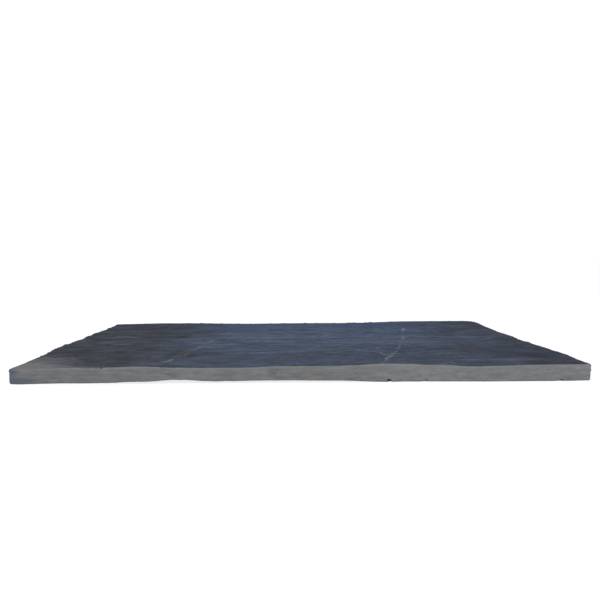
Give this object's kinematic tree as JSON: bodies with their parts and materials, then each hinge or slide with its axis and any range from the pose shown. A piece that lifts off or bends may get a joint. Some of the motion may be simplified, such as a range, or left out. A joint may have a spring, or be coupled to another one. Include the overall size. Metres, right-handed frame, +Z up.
{
  "type": "slate slab",
  "caption": "Rough-edged rectangular slab of dark blue-grey slate, split flat along its cleavage, that lies on a floor, bed or stand.",
  "frame": {"origin": "on the surface that the slab rests on, under the middle of its bounding box", "axes": "+X along the slab's long side, its straight front edge facing -Y, +Z up through its thickness"},
  "size_m": [1.0038, 0.6022, 0.0318],
  "materials": {
    "slate": "riven, matt"
  },
  "bodies": {
    "root": {"slab": "slate"}
  },
  "joints": []
}
